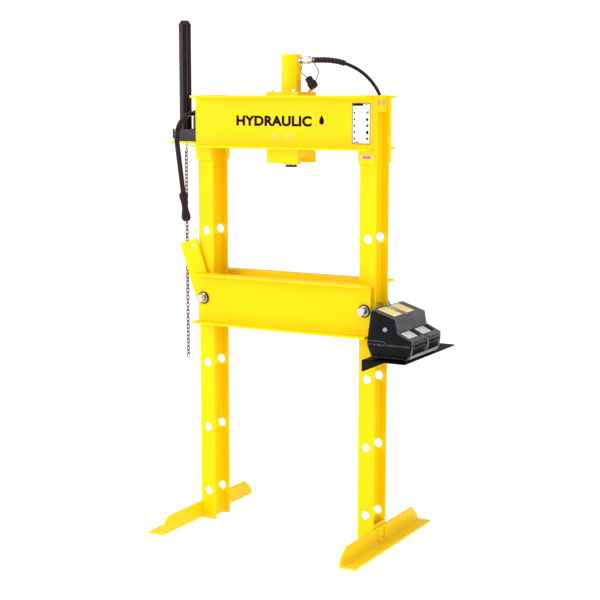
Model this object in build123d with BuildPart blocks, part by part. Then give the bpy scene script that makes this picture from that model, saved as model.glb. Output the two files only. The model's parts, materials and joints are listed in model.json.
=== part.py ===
from build123d import *
import math
import os

# Floor-standing hydraulic shop press: two I-section uprights on angle feet, a head and a bed
# made of channel pairs, a single-acting ram in the head, an air-hydraulic foot pump on a side
# shelf, and a small lever pump with a lift rod and chain for raising the bed.
# Millimetres, +Z up, -Y is the working side, origin on the floor at the middle of the frame.

os.makedirs("parts", exist_ok=True)

# ---- frame steel -------------------------------------------------------------------------
span = 816.0                     # between upright centrelines
post_h = 1960.0
flange_w, post_d = 76.2, 127.0   # 5 inch I-beam
flange_t, web_t, post_root = 8.3, 5.4, 6.0
hole_d, hole_pitch, hole_first, hole_count = 41.0, 305.0, 132.0, 5
post_x = span / 2
post_out = post_x + flange_w / 2
post_face = post_d / 2
hole_levels = [hole_first + i * hole_pitch for i in range(hole_count)]
pin_z = hole_levels[3]

chan_h, chan_flange, chan_web, chan_t = 228.6, 61.8, 5.9, 10.5   # 9 inch channel
chan_len = 873.0
filler_t = 19.0
web_back = post_face + filler_t
web_front = web_back + chan_web
chan_tip = web_back + chan_flange
head_top = 1958.0
head_bottom = head_top - chan_h
bed_bottom = pin_z - chan_h / 2
filler_bottom = 1672.0

# ---- feet --------------------------------------------------------------------------------
foot_len, foot_leg, foot_t = 780.0, 76.2, 9.5
foot_tip_z, foot_slope = 26.0, 59.0
anchor_d, anchor_x, anchor_y = 14.0, 485.0, 338.0
bolt_d, bolt_hole, bolt_af, bolt_head = 12.0, 13.0, 19.0, 7.5
bolt_r = bolt_af / 2 / math.cos(math.pi / 6)
foot_bolts_at = [(y, z) for y in (-33.0, 33.0) for z in (27.0, 55.0)]
pad_t, pad_w = 10.0, post_d - 2 * flange_t

# ---- ram ---------------------------------------------------------------------------------
ram_r, ram_bottom, ram_top = 43.0, 1660.0, 2136.0
bore_r, chamber_top = 32.5, 2116.0
rod_r, stroke = 28.5, 362.0
port_z = 2110.0
plate_t = 16.0
guide_w, guide_t, guide_bottom = 156.0, 22.0, 1666.0
plate_bolts_at = [(x, y) for x in (-57.0, 57.0) for y in (-71.5, 71.5)]

# ---- hand pump on the left ---------------------------------------------------------------
shelf_z, shelf_t, shelf_tip = 1752.0, 10.0, -599.0
lift_x, lift_y = -540.0, -20.0
tube_r, tube_bottom, tube_top, cap_top = 27.5, 1808.0, 2266.0, 2292.0
lever_x, lever_r = -500.0, 11.5
pivot_y, pivot_z = 8.0, 1876.0
chain_pitch, chain_wire, chain_w, chain_links = 17.0, 4.5, 17.0, 57
clevis_z = 1720.0
cam_offset, cam_r, cam_rest = 4.0, 9.0, math.radians(125)

# ---- foot pump on the right --------------------------------------------------------------
side_shelf_z, side_shelf_t, side_shelf_out = 856.0, 6.0, 646.0
side_shelf_front, side_shelf_rear, side_shelf_leg = -188.0, 340.0, 51.0
fp_half = 150.0
fp_split = 918.0
hinge_x, hinge_z = 606.0, 955.0

hose_r = 7.5


# ======================================================================= uprights and feet
with BuildPart() as upright_left:
    with BuildSketch(Plane((-post_x, 0, 0))) as post_section:
        Rectangle(web_t, post_d)
        with Locations((0, post_face - flange_t / 2), (0, flange_t / 2 - post_face)):
            Rectangle(flange_w, flange_t)
        fillet(post_section.vertices().filter_by(lambda v: abs(v.X) < web_t), post_root)
    extrude(amount=post_h)
    with BuildSketch(Plane.XZ):
        with Locations(*[(-post_x, z) for z in hole_levels]):
            Circle(hole_d / 2)
    extrude(amount=post_d, both=True, mode=Mode.SUBTRACT)
upright_left.part.label = "upright_left"
export_step(upright_left.part, "parts/upright_left.step")

with BuildPart() as upright_right:
    add(mirror(upright_left.part, about=Plane.YZ))
upright_right.part.label = "upright_right"
export_step(upright_right.part, "parts/upright_right.step")

with BuildPart() as foot_left:
    with BuildSketch(Plane.XZ) as foot_section:
        with Locations((-post_out, 0)):
            Rectangle(foot_leg, foot_t, align=(Align.MAX, Align.MIN))
            Rectangle(foot_t, foot_leg, align=(Align.MAX, Align.MIN))
        fillet(foot_section.vertices().group_by(Axis.X)[1].sort_by(Axis.Y)[0], 8)
    extrude(amount=foot_len / 2, both=True)
    with BuildSketch(Plane.YZ.offset(-post_out)):
        for end in (-1, 1):
            with BuildLine():
                Polyline(
                    (end * foot_len / 2, foot_tip_z),
                    (end * (foot_len / 2 - foot_slope), foot_leg),
                    (end * foot_len / 2, foot_leg),
                    close=True,
                )
            make_face()
    extrude(amount=-foot_t, mode=Mode.SUBTRACT)
    with BuildSketch(Plane.XY):
        with Locations((-anchor_x, -anchor_y), (-anchor_x, anchor_y)):
            Circle(anchor_d / 2)
    extrude(amount=foot_t, mode=Mode.SUBTRACT)
    with BuildSketch(Plane.YZ.offset(-post_out)):
        with Locations(*foot_bolts_at):
            Circle(bolt_hole / 2)
    extrude(amount=-foot_t, mode=Mode.SUBTRACT)
foot_left.part.label = "foot_left"
export_step(foot_left.part, "parts/foot_left.step")

with BuildPart() as foot_right:
    add(mirror(foot_left.part, about=Plane.YZ))
foot_right.part.label = "foot_right"
export_step(foot_right.part, "parts/foot_right.step")

# Plates welded between the post flanges, each taking the bolts of what hangs on it.
with BuildPart() as upright_pads:
    for side in (-1, 1):
        with BuildSketch(Plane.YZ.offset(side * post_out)):
            with Locations((0, 45)):
                Rectangle(pad_w, 90)
            with Locations(*foot_bolts_at):
                Circle(bolt_hole / 2, mode=Mode.SUBTRACT)
        extrude(amount=-side * pad_t)
    with BuildSketch(Plane.YZ.offset(post_out - pad_t)):
        with Locations((0, 1924)):
            Rectangle(pad_w, 72)
        with Locations((-24, 1928), (24, 1928)):
            Circle(bolt_hole / 2, mode=Mode.SUBTRACT)
    extrude(amount=-pad_t)
    with BuildSketch(Plane.YZ.offset(post_out)):
        with Locations((0, 828)):
            Rectangle(pad_w, 60)
        with Locations((-34, 828), (34, 828)):
            Circle(bolt_hole / 2, mode=Mode.SUBTRACT)
    extrude(amount=-pad_t)
    with BuildSketch(Plane.YZ.offset(pad_t - post_out)):
        with Locations((0, 1702)):
            Rectangle(pad_w, 84)
        with Locations((-30, 1702), (30, 1702)):
            Circle(bolt_hole / 2, mode=Mode.SUBTRACT)
    extrude(amount=pad_t)
upright_pads.part.label = "upright_pads"
export_step(upright_pads.part, "parts/upright_pads.step")

with BuildPart() as foot_bolts:
    for side in (-1, 1):
        with BuildSketch(Plane.YZ.offset(side * (post_out + foot_t))):
            with Locations(*foot_bolts_at):
                RegularPolygon(bolt_r, 6)
        extrude(amount=side * bolt_head)
        with BuildSketch(Plane.YZ.offset(side * (post_out + foot_t))):
            with Locations(*foot_bolts_at):
                Circle(bolt_d / 2)
        extrude(amount=-side * 34)
        with BuildSketch(Plane.YZ.offset(side * (post_out - pad_t))):
            with Locations(*foot_bolts_at):
                RegularPolygon(bolt_r, 6)
        extrude(amount=-side * 10)
foot_bolts.part.label = "foot_bolts"
export_step(foot_bolts.part, "parts/foot_bolts.step")

# ============================================================================ head and bed
with BuildPart() as head_channel_front:
    with BuildSketch(Plane.YZ.offset(-chan_len / 2)) as head_section:
        with Locations((-web_back, head_bottom)):
            Rectangle(chan_flange, chan_h, align=(Align.MAX, Align.MIN))
        with Locations((-web_front, head_bottom + chan_t)):
            Rectangle(chan_flange, chan_h - 2 * chan_t, align=(Align.MAX, Align.MIN),
                      mode=Mode.SUBTRACT)
        fillet(head_section.vertices().group_by(Axis.X)[1], 8)
        fillet(head_section.vertices().group_by(Axis.X)[0].sort_by(Axis.Y)[1:3], 5)
    extrude(amount=chan_len)
head_channel_front.part.label = "head_channel_front"
export_step(head_channel_front.part, "parts/head_channel_front.step")

with BuildPart() as head_channel_rear:
    add(mirror(head_channel_front.part, about=Plane.XZ))
head_channel_rear.part.label = "head_channel_rear"
export_step(head_channel_rear.part, "parts/head_channel_rear.step")

with BuildPart() as head_fillers:
    for face in (post_face, -web_back):
        with BuildSketch(Plane.XZ.offset(face)):
            with Locations((-post_x, (filler_bottom + head_top) / 2),
                           (post_x, (filler_bottom + head_top) / 2)):
                Rectangle(flange_w, head_top - filler_bottom)
        extrude(amount=filler_t)
head_fillers.part.label = "head_fillers"
export_step(head_fillers.part, "parts/head_fillers.step")

with BuildPart() as bed_channel_front:
    with BuildSketch(Plane.YZ.offset(-chan_len / 2)) as bed_section:
        with Locations((-web_back, bed_bottom)):
            Rectangle(chan_flange, chan_h, align=(Align.MAX, Align.MIN))
        with Locations((-web_front, bed_bottom + chan_t)):
            Rectangle(chan_flange, chan_h - 2 * chan_t, align=(Align.MAX, Align.MIN),
                      mode=Mode.SUBTRACT)
        fillet(bed_section.vertices().group_by(Axis.X)[1], 8)
        fillet(bed_section.vertices().group_by(Axis.X)[0].sort_by(Axis.Y)[1:3], 5)
    extrude(amount=chan_len)
    with BuildSketch(Plane.XZ.offset(web_back)):
        with Locations((-post_x, pin_z), (post_x, pin_z)):
            Circle(19.1)
    extrude(amount=chan_web, mode=Mode.SUBTRACT)
bed_channel_front.part.label = "bed_channel_front"
export_step(bed_channel_front.part, "parts/bed_channel_front.step")

with BuildPart() as bed_channel_rear:
    add(mirror(bed_channel_front.part, about=Plane.XZ))
bed_channel_rear.part.label = "bed_channel_rear"
export_step(bed_channel_rear.part, "parts/bed_channel_rear.step")

with BuildPart() as bed_spacers:
    for x in (-322.0, 322.0):
        with BuildSketch(Plane.YZ.offset(x - 8)):
            with Locations((0, pin_z)):
                Rectangle(2 * web_back, 150)
                Circle(35, mode=Mode.SUBTRACT)
        extrude(amount=16)
bed_spacers.part.label = "bed_spacers"
export_step(bed_spacers.part, "parts/bed_spacers.step")

# Bed pins: a bar through both posts and both webs, its collar seated on the front web.
for side, name in ((-1, "pin_left"), (1, "pin_right")):
    with BuildPart() as bed_pin:
        with BuildSketch(Plane.XZ.offset(-128)):
            with Locations((side * post_x, pin_z)):
                Circle(19)
        extrude(amount=256)
        chamfer(bed_pin.faces().sort_by(Axis.Y)[0].edges(), 3)
        chamfer(bed_pin.faces().sort_by(Axis.Y)[-1].edges(), 3)
        with BuildSketch(Plane.XZ.offset(web_front)):
            with Locations((side * post_x, pin_z)):
                Circle(22.5)
        extrude(amount=6)
    bed_pin.part.label = name
    export_step(bed_pin.part, f"parts/{name}.step")

# Flat bar on the left pin, behind the front bed channel, leaning out past the post.
arm_w, arm_t, arm_lean = 90.0, 12.0, 18.5
with BuildPart() as lift_arm:
    with BuildSketch(Plane.XZ.offset(web_back - arm_t)):
        with Locations(Location((-post_x, pin_z, 0), (0, 0, arm_lean))):
            with Locations((0, 112)):
                Rectangle(arm_w, 314)
            Circle(19.1, mode=Mode.SUBTRACT)
            with Locations((12, 243)):
                SlotOverall(30, 11, mode=Mode.SUBTRACT)
    extrude(amount=arm_t)
    chamfer(lift_arm.edges().filter_by(Axis.Y).group_by(Axis.Z)[0], 12)
lift_arm.part.label = "lift_arm"
export_step(lift_arm.part, "parts/lift_arm.step")

# ==================================================================== ram and its mounting
with BuildPart() as guide_plates:
    for face in (web_back - guide_t, -web_back):
        with BuildSketch(Plane.XZ.offset(face)):
            with Locations((0, (guide_bottom + head_top) / 2)):
                Rectangle(guide_w, head_top - guide_bottom)
        extrude(amount=guide_t)
    with BuildSketch(Plane.XY.offset(head_top)):
        with Locations(*plate_bolts_at):
            Circle(bolt_d / 2 + 0.1)
    extrude(amount=-42, mode=Mode.SUBTRACT)
guide_plates.part.label = "guide_plates"
export_step(guide_plates.part, "parts/guide_plates.step")

with BuildPart() as reaction_block:
    with BuildSketch(Plane.XY.offset(1690)):
        Rectangle(guide_w, 2 * (web_back - guide_t))
        Circle(ram_r - 0.15, mode=Mode.SUBTRACT)
    extrude(amount=40)
reaction_block.part.label = "reaction_block"
export_step(reaction_block.part, "parts/reaction_block.step")

with BuildPart() as top_plate:
    with BuildSketch(Plane.XY.offset(head_top)):
        RectangleRounded(160, 2 * web_back, 4)
        Circle(ram_r + 0.4, mode=Mode.SUBTRACT)
        with Locations(*plate_bolts_at):
            Circle(bolt_hole / 2, mode=Mode.SUBTRACT)
    extrude(amount=plate_t)
top_plate.part.label = "top_plate"
export_step(top_plate.part, "parts/top_plate.step")

with BuildPart() as top_plate_bolts:
    with BuildSketch(Plane.XY.offset(head_top + plate_t)):
        with Locations(*plate_bolts_at):
            Circle(11.5)
    extrude(amount=2.5)
    with BuildSketch(Plane.XY.offset(head_top + plate_t + 2.5)):
        with Locations(*plate_bolts_at):
            RegularPolygon(bolt_r, 6)
    extrude(amount=bolt_head)
    with BuildSketch(Plane.XY.offset(head_top + plate_t)):
        with Locations(*plate_bolts_at):
            Circle(bolt_d / 2)
    extrude(amount=-52)
top_plate_bolts.part.label = "top_plate_bolts"
export_step(top_plate_bolts.part, "parts/top_plate_bolts.step")

with BuildPart() as cylinder_body:
    with BuildSketch(Plane.XZ):
        with BuildLine():
            Polyline(
                (bore_r, ram_bottom), (ram_r, ram_bottom), (ram_r, ram_top - 4),
                (ram_r - 4, ram_top), (0, ram_top), (0, chamber_top),
                (bore_r, chamber_top), close=True,
            )
        make_face()
    revolve(axis=Axis.Z)
    with BuildSketch(Plane.YZ.offset(ram_r + 1)):
        with Locations((0, port_z)):
            Circle(9)
    extrude(amount=-8, mode=Mode.SUBTRACT)
    with BuildSketch(Plane.YZ.offset(ram_r)):
        with Locations((0, port_z)):
            Circle(4)
    extrude(amount=-14, mode=Mode.SUBTRACT)
cylinder_body.part.label = "cylinder_body"
export_step(cylinder_body.part, "parts/cylinder_body.step")

with BuildPart() as cylinder_gland:
    with BuildSketch(Plane.XY.offset(1672)):
        Circle(bore_r - 0.05)
        Circle(rod_r + 0.06, mode=Mode.SUBTRACT)
    extrude(amount=28)
cylinder_gland.part.label = "cylinder_gland"
export_step(cylinder_gland.part, "parts/cylinder_gland.step")

with BuildPart() as wiper_seal:
    with BuildSketch(Plane.XY.offset(1662)):
        Circle(bore_r - 0.05)
        Circle(rod_r + 0.05, mode=Mode.SUBTRACT)
    extrude(amount=10)
wiper_seal.part.label = "wiper_seal"
export_step(wiper_seal.part, "parts/wiper_seal.step")

with BuildPart() as plunger:
    with BuildSketch(Plane.XZ):
        with BuildLine():
            Polyline(
                (10.1, 1658), (rod_r, 1658), (rod_r, 2076), (bore_r - 0.08, 2076),
                (bore_r - 0.08, 2086), (30, 2086), (30, 2094), (bore_r - 0.08, 2094),
                (bore_r - 0.08, 2104), (22, 2104), (22, 1700), (0, 1700), (0, 1683),
                (10.1, 1683), close=True,
            )
        make_face()
    revolve(axis=Axis.Z)
plunger.part.label = "plunger"
export_step(plunger.part, "parts/plunger.step")

with BuildPart() as piston_seal:
    with BuildSketch(Plane.XY.offset(2086)):
        Circle(bore_r - 0.05)
        Circle(30, mode=Mode.SUBTRACT)
    extrude(amount=8)
piston_seal.part.label = "piston_seal"
export_step(piston_seal.part, "parts/piston_seal.step")

with BuildPart() as return_spring:
    with BuildLine(Plane.XY.offset(1703)) as coil:
        Helix(pitch=12.8, height=410, radius=16)
    with BuildSketch(Plane(origin=coil.line @ 0, z_dir=coil.line % 0)):
        Circle(2.8)
    sweep()
return_spring.part.label = "return_spring"
export_step(return_spring.part, "parts/return_spring.step")

with BuildPart() as saddle:
    with BuildSketch(Plane.XY.offset(1648)):
        Circle(25)
    extrude(amount=10)
    chamfer(saddle.faces().sort_by(Axis.Z)[0].edges(), 1.5)
    with BuildSketch(Plane.XY.offset(1658)):
        Circle(10)
    extrude(amount=24)
saddle.part.label = "saddle"
export_step(saddle.part, "parts/saddle.step")

# ==================================================================== coupler, caps, hose
port_axis = Axis((0, 0, port_z), (1, 0, 0))

with BuildPart() as coupler_socket:
    with BuildSketch(Plane.XZ):
        with BuildLine():
            Polyline(
                (36.5, port_z + 4), (36.5, port_z + 8.9), (ram_r, port_z + 8.9),
                (ram_r, port_z + 13.5), (53, port_z + 13.5), (53, port_z + 11),
                (58, port_z + 11), (60, port_z + 15.5), (67, port_z + 15.5),
                (67, port_z + 13), (88, port_z + 13), (88, port_z + 8),
                (76, port_z + 8), (76, port_z + 4), close=True,
            )
        make_face()
    revolve(axis=port_axis)
coupler_socket.part.label = "coupler_socket"
export_step(coupler_socket.part, "parts/coupler_socket.step")

with BuildPart() as coupler_sleeve:
    with BuildSketch(Plane.YZ.offset(67.3)):
        with Locations((0, port_z)):
            Circle(17.2)
            Circle(13.06, mode=Mode.SUBTRACT)
            with PolarLocations(17.2, 20):
                Circle(0.9, mode=Mode.SUBTRACT)
    extrude(amount=20.2)
coupler_sleeve.part.label = "coupler_sleeve"
export_step(coupler_sleeve.part, "parts/coupler_sleeve.step")

with BuildPart() as coupler_plug:
    with BuildSketch(Plane.XZ):
        with BuildLine():
            Polyline(
                (77, port_z + 4), (77, port_z + 7.9), (88, port_z + 7.9),
                (88, port_z + 16.5), (95, port_z + 16.5), (97, port_z + 13.5),
                (106, port_z + 13.5), (108, port_z + 10), (118, port_z + 10),
                (118, port_z + 4), close=True,
            )
        make_face()
    revolve(axis=port_axis)
coupler_plug.part.label = "coupler_plug"
export_step(coupler_plug.part, "parts/coupler_plug.step")

hose_points = [
    (152, 0, port_z), (215, 0, port_z), (300, 42, 2076), (336, 122, 2018), (350, 190, 1942),
    (350, 194, 1820), (335, 193, 1640), (312, 194, 1430), (312, 195, 1240), (322, 202, 1130),
    (375, 214, 1045), (425, 208.6, 965.6), (425, 152, 909),
]
hose_v = [Vector(*p) for p in hose_points]
hose_radii = []
for before, here, after in zip(hose_v, hose_v[1:], hose_v[2:]):
    turn = math.radians((here - before).get_angle(after - here))
    shorter = min((here - before).length, (after - here).length)
    hose_radii.append(round(min(0.45 * shorter / math.tan(turn / 2), 3000), 1))
print("hose radii", hose_radii)

with BuildPart() as hose:
    with BuildLine() as hose_path:
        FilletPolyline(*hose_points, radius=hose_radii)
    with BuildSketch(Plane(origin=hose_path.line @ 0, z_dir=hose_path.line % 0)):
        Circle(hose_r)
    sweep()
hose_len = hose_path.wires()[0].length
print("hose length", round(hose_len, 1), "volume", round(hose.part.volume),
      "section x length", round(math.pi * hose_r**2 * hose_len))
hose.part.label = "hose"
export_step(hose.part, "parts/hose.step")

with BuildPart() as hose_guard:
    with BuildLine() as guard_path:
        FilletPolyline(hose_points[0], hose_points[1], (257.5, 21, 2093), radius=hose_radii[0])
    with BuildSketch(Plane(origin=guard_path.line @ 0, z_dir=guard_path.line % 0)):
        Circle(10.5)
        Circle(hose_r + 0.1, mode=Mode.SUBTRACT)
    sweep()
hose_guard.part.label = "hose_guard"
export_step(hose_guard.part, "parts/hose_guard.step")

# Crimped end on the coupler, and the elbow that leaves the back of the foot pump.
elbow_out = Vector(0, 1, 1).normalized()
with BuildPart() as hose_ends:
    with BuildSketch(Plane.YZ.offset(118)):
        with Locations((0, port_z)):
            Circle(10)
    extrude(amount=34)
    chamfer(hose_ends.edges().filter_by(GeomType.CIRCLE), 1)
    with BuildSketch(Plane.YZ.offset(470)):
        with Locations((128, 885)):
            Circle(10)
    extrude(amount=-45)
    with BuildSketch(Plane(origin=(425, 128, 885), z_dir=elbow_out)):
        Circle(10)
    extrude(amount=(Vector(*hose_points[-1]) - Vector(425, 128, 885)).length)
    with Locations((425, 128, 885)):
        Sphere(10)
hose_ends.part.label = "hose_ends"
export_step(hose_ends.part, "parts/hose_ends.step")

with BuildPart() as dust_caps:
    for ring_x, ring_r in ((53, 11), (110, 10)):
        with BuildSketch(Plane.YZ.offset(ring_x + 0.4)):
            with Locations((0, port_z)):
                Circle(ring_r + 2.6)
                Circle(ring_r + 0.05, mode=Mode.SUBTRACT)
        extrude(amount=3.6)
    for start, bend, end in (((55.2, 0, 2097.4), (58, -20, 2056), (99, -24, 2031)),
                             ((112.2, 0, 2098.4), (146, -16, 2062), (132, -24, 2012))):
        with BuildLine() as strap:
            FilletPolyline(start, bend, end, radius=18)
        with BuildSketch(Plane(origin=strap.line @ 0, z_dir=strap.line % 0)):
            Circle(1.7)
        sweep(path=strap.line)
    for centre, lean, cap_r, cap_h in (((97, -24, 2034), (0.6, 0, -0.8), 15, 24.5),
                                       ((111.4, -24, 2014.8), (0.6, 0, -0.8), 19, 27)):
        with BuildSketch(Plane(origin=centre, z_dir=lean)):
            Circle(cap_r)
        extrude(amount=cap_h)
dust_caps.part.label = "dust_caps"
export_step(dust_caps.part, "parts/dust_caps.step")

# ================================================================ lever pump and bed lift
with BuildPart() as pump_shelf:
    with BuildSketch(Plane.XY.offset(shelf_z - shelf_t)):
        with Locations((-post_out, 0)):
            Rectangle(-post_out - shelf_tip, post_d, align=(Align.MAX, Align.CENTER))
        with Locations((pad_t - post_out, 0)):
            Rectangle(20, pad_w - 2, align=(Align.MAX, Align.CENTER))
        with Locations((lift_x, lift_y)):
            Circle(16, mode=Mode.SUBTRACT)
    extrude(amount=shelf_t)
    with BuildSketch(Plane.YZ.offset(-post_out)):
        with Locations((0, shelf_z - 45)):
            Rectangle(pad_w - 2, 90)
        with Locations((-30, 1702), (30, 1702)):
            Circle(bolt_hole / 2, mode=Mode.SUBTRACT)
    extrude(amount=pad_t)
pump_shelf.part.label = "pump_shelf"
export_step(pump_shelf.part, "parts/pump_shelf.step")

# Bolts of the pump shelf, the foot-pump shelf and the spare pad, with their nuts.
with BuildPart() as bracket_bolts:
    for face, out, grip, points in (
        (-post_out, -1, 2 * pad_t, [(-30, 1702), (30, 1702)]),
        (post_out + side_shelf_t, 1, pad_t + side_shelf_t, [(-34, 828), (34, 828)]),
        (post_out - pad_t, 1, pad_t, [(-24, 1928), (24, 1928)]),
    ):
        with BuildSketch(Plane.YZ.offset(face)):
            with Locations(*points):
                RegularPolygon(bolt_r, 6)
        extrude(amount=out * bolt_head)
        with BuildSketch(Plane.YZ.offset(face)):
            with Locations(*points):
                Circle(bolt_d / 2)
        extrude(amount=-out * (grip + 6))
        if grip == pad_t:
            continue
        with BuildSketch(Plane.YZ.offset(face - out * grip)):
            with Locations(*points):
                RegularPolygon(bolt_r, 6)
        extrude(amount=-out * 6)
bracket_bolts.part.label = "bracket_bolts"
export_step(bracket_bolts.part, "parts/bracket_bolts.step")

with BuildPart() as lift_base:
    with BuildSketch(Plane.XY.offset(shelf_z)):
        with BuildLine():
            Polyline((-568, -58), (-452, -58), (-452, 44), (-520, 44), (-568, 18), close=True)
        make_face()
        with Locations((lift_x, lift_y)):
            Circle(8.06, mode=Mode.SUBTRACT)
    extrude(amount=tube_bottom - shelf_z)
    chamfer(lift_base.faces().sort_by(Axis.Z)[-1].outer_wire().edges(), 2)
    with BuildSketch(Plane.YZ.offset(-568)):
        with Locations((-40, 1786)):
            Circle(5.06)
    extrude(amount=24, mode=Mode.SUBTRACT)
    with BuildSketch(Plane.XY.offset(tube_bottom)):
        with Locations((-470, pivot_y)):
            Circle(8.06)
    extrude(amount=-44, mode=Mode.SUBTRACT)
lift_base.part.label = "lift_base"
export_step(lift_base.part, "parts/lift_base.step")

with BuildPart() as lift_tube:
    with BuildSketch(Plane.XY.offset(tube_bottom)):
        with Locations((lift_x, lift_y)):
            Circle(tube_r)
            Circle(22.5, mode=Mode.SUBTRACT)
    extrude(amount=tube_top - tube_bottom)
lift_tube.part.label = "lift_tube"
export_step(lift_tube.part, "parts/lift_tube.step")

with BuildPart() as lift_cap:
    with BuildSketch(Plane.XZ.offset(-lift_y)):
        with BuildLine():
            Polyline(
                (lift_x, tube_top - 22), (lift_x + 22.4, tube_top - 22),
                (lift_x + 22.4, tube_top), (lift_x + tube_r + 1, tube_top),
                (lift_x + tube_r + 1, tube_top + 8), (lift_x + 16, cap_top),
                (lift_x, cap_top), close=True,
            )
        make_face()
    revolve(axis=Axis((lift_x, lift_y, 0), (0, 0, 1)))
lift_cap.part.label = "lift_cap"
export_step(lift_cap.part, "parts/lift_cap.step")

with BuildPart() as lift_rod:
    with BuildSketch(Plane.XY.offset(1745)):
        with Locations((lift_x, lift_y)):
            Circle(8)
    extrude(amount=2238 - 1745)
    with BuildSketch(Plane.XY.offset(2210)):
        with Locations((lift_x, lift_y)):
            Circle(22.42)
    extrude(amount=28)
    with BuildSketch(Plane.XY.offset(1745)):
        with Locations((lift_x, lift_y)):
            Circle(11)
    extrude(amount=-14)
    with BuildSketch(Plane.YZ.offset(lift_x)):
        with Locations((lift_y, 1724)):
            Rectangle(14, 24)
    extrude(amount=2.5, both=True)
    with BuildSketch(Plane.YZ.offset(lift_x)):
        with Locations((lift_y, clevis_z)):
            Circle(3.3)
    extrude(amount=10, both=True, mode=Mode.SUBTRACT)
lift_rod.part.label = "lift_rod"
export_step(lift_rod.part, "parts/lift_rod.step")

# Chain: separate stadium links, every other one turned a quarter.
link_r = (chain_w - chain_wire) / 2
link_half = (chain_pitch + chain_wire + 0.3) / 2 - link_r
chain_top = clevis_z + 0.3 - link_half - link_r
with BuildPart() as chain:
    for i in range(chain_links):
        centre = (lift_x, lift_y, chain_top - i * chain_pitch)
        across = (1, 0, 0) if i % 2 == 0 else (0, 1, 0)
        link_plane = Plane(origin=centre, x_dir=across, z_dir=Vector(*across).cross(Vector(0, 0, 1)))
        with BuildLine(link_plane) as link:
            Line((link_r, -link_half), (link_r, link_half))
            CenterArc((0, link_half), link_r, 0, 180)
            Line((-link_r, link_half), (-link_r, -link_half))
            CenterArc((0, -link_half), link_r, 180, 180)
        with BuildSketch(Plane(origin=link.line @ 0, z_dir=link.line % 0)):
            Circle(chain_wire / 2)
        sweep(path=link.line)
chain.part.label = "chain"
export_step(chain.part, "parts/chain.step")

with BuildPart() as lever_block:
    with BuildSketch(Plane.YZ.offset(-487)):
        with Locations((-7, tube_bottom)):
            Rectangle(66, 52, align=(Align.CENTER, Align.MIN))
        with Locations((pivot_y, tube_bottom)):
            Rectangle(34, pivot_z - tube_bottom, align=(Align.CENTER, Align.MIN))
        with Locations((pivot_y, pivot_z)):
            Circle(17)
            Circle(6.05, mode=Mode.SUBTRACT)
    extrude(amount=34)
    with BuildSketch(Plane.XY.offset(tube_bottom)):
        with Locations((-470, pivot_y)):
            Circle(8.06)
    extrude(amount=30, mode=Mode.SUBTRACT)
    with BuildSketch(Plane.YZ.offset(-479)):
        with Locations((pivot_y, 1866)):
            Rectangle(60, 60)
    extrude(amount=18, mode=Mode.SUBTRACT)
lever_block.part.label = "lever_block"
export_step(lever_block.part, "parts/lever_block.step")

# Turns with the lever; its eccentric, between the block's cheeks, bears on the pump plunger.
with BuildPart() as lever_pin:
    with BuildSketch(Plane.YZ.offset(-478)):
        with Locations((pivot_y + cam_offset * math.sin(cam_rest),
                        pivot_z - cam_offset * math.cos(cam_rest))):
            Circle(cam_r)
    extrude(amount=16)
    with BuildSketch(Plane.YZ.offset(-453)):
        with Locations((pivot_y, pivot_z)):
            Circle(6)
    extrude(amount=-58)
    with BuildSketch(Plane.YZ.offset(-453)):
        with Locations((pivot_y, pivot_z)):
            Circle(9)
    extrude(amount=3)
    with BuildSketch(Plane.YZ.offset(-509.4)):
        with Locations((pivot_y, pivot_z)):
            Circle(9)
    extrude(amount=-3.6)
lever_pin.part.label = "lever_pin"
export_step(lever_pin.part, "parts/lever_pin.step")

lever_plane = Plane.YZ.offset(lever_x)
grip_from, grip_to = (-108.8, 1522.6), (-84.0, 1395.0)
with BuildPart() as hand_lever:
    with BuildLine(lever_plane) as lever_path:
        FilletPolyline((-4, 1877), (-70, 1876), (-165, 1808), (-97.0, 1461.7),
                       radius=[60, 95])
    with BuildSketch(Plane(origin=lever_path.line @ 0, z_dir=lever_path.line % 0)):
        Circle(lever_r)
    sweep()
    with BuildSketch(Plane.YZ.offset(lever_x - 9.2)):
        with Locations((pivot_y, pivot_z)):
            Circle(17)
    extrude(amount=21.9)
    with BuildSketch(Plane.YZ.offset(lever_x - 12)):
        with Locations((pivot_y, pivot_z)):
            Circle(6.05)
    extrude(amount=30, mode=Mode.SUBTRACT)
hand_lever.part.label = "hand_lever"
export_step(hand_lever.part, "parts/hand_lever.step")

grip_run = Vector(0, grip_to[0] - grip_from[0], grip_to[1] - grip_from[1])
grip_axis = Axis((lever_x, *grip_from), tuple(grip_run))
grip_plane = Plane(origin=(lever_x, *grip_from), x_dir=(1, 0, 0),
                   z_dir=Vector(1, 0, 0).cross(grip_run))
with BuildPart() as lever_grip:
    with BuildSketch(grip_plane):
        with BuildLine():
            Spline((15, 0), (20, 10), (17, 36), (17, 88), (20.5, 118), (15, 130))
            Polyline((15, 130), (0, 130), (0, 66), (lever_r, 66), (lever_r, 0), (15, 0))
        make_face()
    revolve(axis=grip_axis)
lever_grip.part.label = "lever_grip"
export_step(lever_grip.part, "parts/lever_grip.step")

with BuildPart() as pump_plunger:
    with BuildSketch(Plane.XY.offset(1772)):
        with Locations((-470, pivot_y)):
            Circle(8)
    extrude(amount=pivot_z - cam_offset * math.cos(cam_rest) - cam_r - 0.25 - 1772)
pump_plunger.part.label = "pump_plunger"
export_step(pump_plunger.part, "parts/pump_plunger.step")

with BuildPart() as release_knob:
    with BuildSketch(Plane.YZ.offset(-546)):
        with Locations((-40, 1786)):
            Circle(5)
    extrude(amount=-46)
    with BuildSketch(Plane.YZ.offset(-570)):
        with Locations((-40, 1786)):
            RegularPolygon(9, 6)
    extrude(amount=-10)
    with BuildSketch(Plane.XY.offset(1764)):
        with Locations((-594, -40)):
            Circle(4.5)
    extrude(amount=44)
release_knob.part.label = "release_knob"
export_step(release_knob.part, "parts/release_knob.step")

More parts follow.
